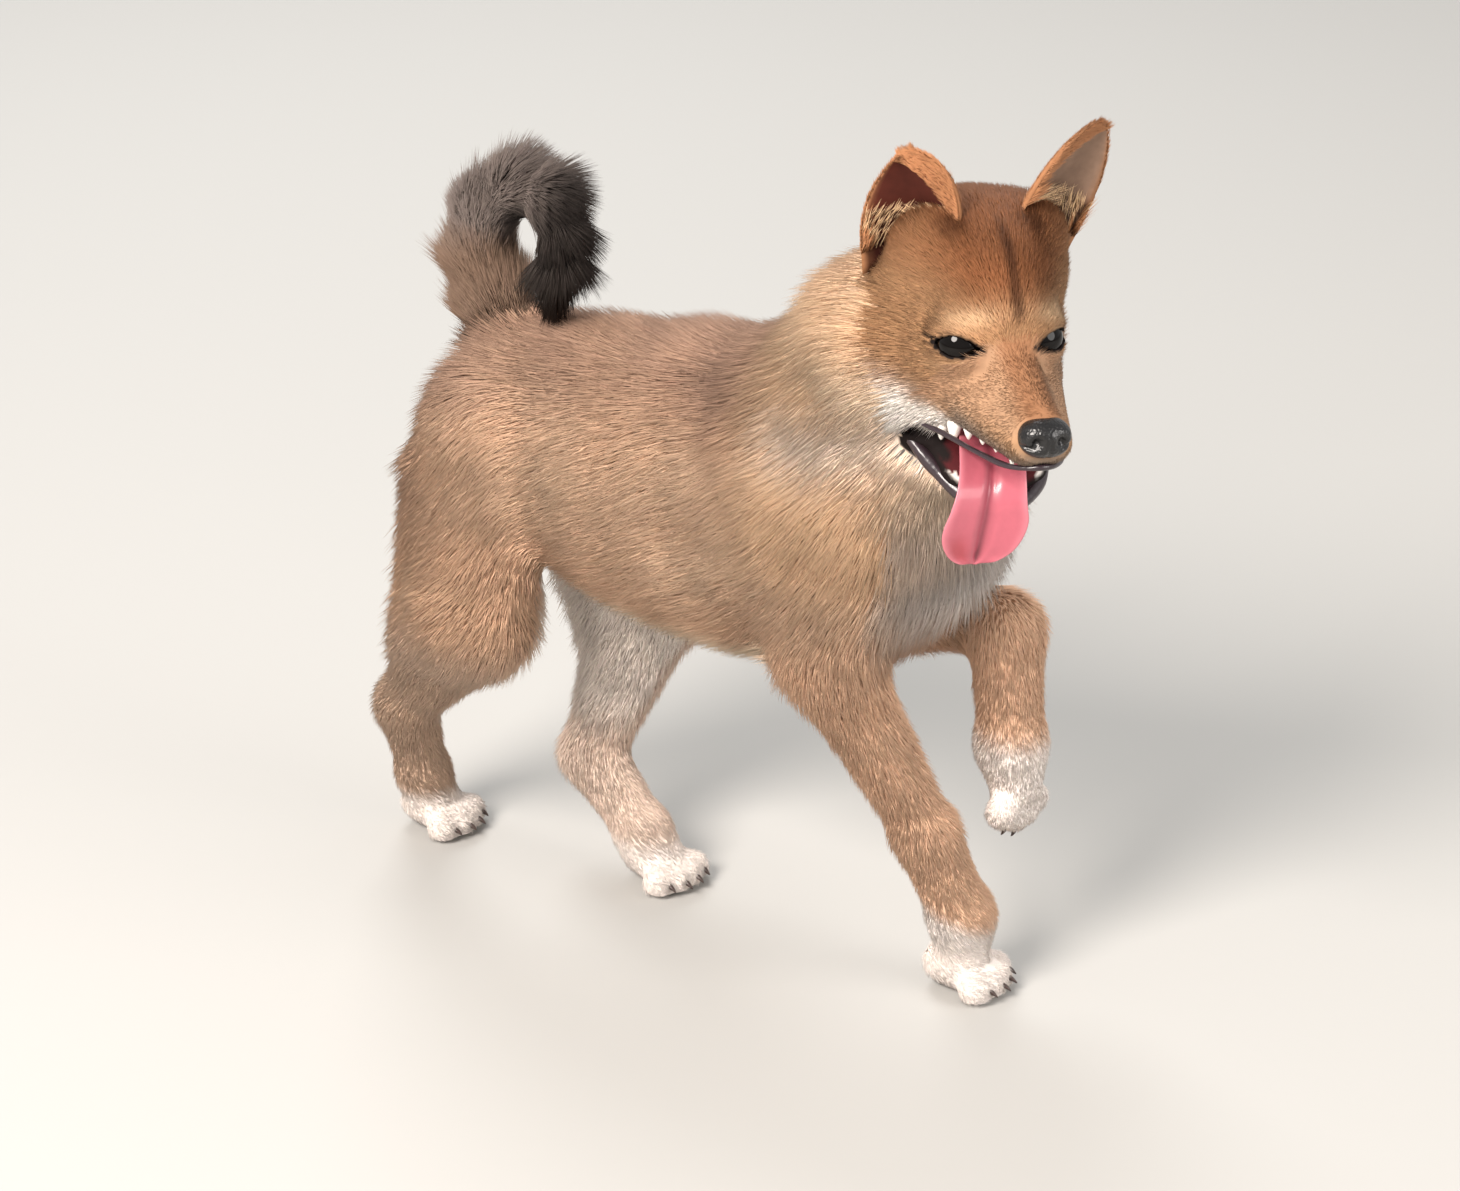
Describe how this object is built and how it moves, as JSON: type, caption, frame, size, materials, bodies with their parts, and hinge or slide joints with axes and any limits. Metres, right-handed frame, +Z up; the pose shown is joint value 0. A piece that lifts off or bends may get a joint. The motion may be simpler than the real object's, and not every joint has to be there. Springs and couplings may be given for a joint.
{
  "type": "shiba inu puppy, trotting, still life-size model",
  "caption": "A still, life-size model of a shiba inu puppy in mid trot, head turned, mouth open with the tongue out, and one fore leg lifted.",
  "frame": {"origin": "on the floor, under the middle of the animal's box", "axes": "+X the way the body faces, +Y the animal's left, +Z up"},
  "size_m": [0.3884, 0.1418, 0.3928],
  "materials": {
    "coat": "short dense red and tan dog's coat",
    "white_coat": "short white coat of the paws",
    "dark_coat": "long grey-brown coat of the tail",
    "lip": "dark soft moist lip and gum",
    "nose": "black pebbled moist nose",
    "eye": "dark brown, clear wet gloss",
    "tongue": "soft pink, wet",
    "tooth": "glossy ivory enamel",
    "claw": "dark smooth horn"
  },
  "bodies": {
    "root": {"torso_front": "coat", "torso_rear": "coat", "neck": "coat", "head": "coat", "ear_left": "coat", "ear_right": "coat", "upper_fore_right": "coat", "upper_fore_left": "coat", "upper_hind_right": "coat", "upper_hind_left": "coat", "lower_fore_right": "coat", "lower_fore_left": "coat", "lower_hind_right": "coat", "lower_hind_left": "coat", "paw_fore_right": "white_coat", "paw_fore_left": "white_coat", "paw_hind_right": "white_coat", "paw_hind_left": "white_coat", "tail_root": "dark_coat", "tail_middle": "dark_coat", "tail_tip": "dark_coat", "jaw": "lip", "nose": "nose", "eye_left": "eye", "eye_right": "eye", "tongue": "tongue"}
  },
  "joints": []
}
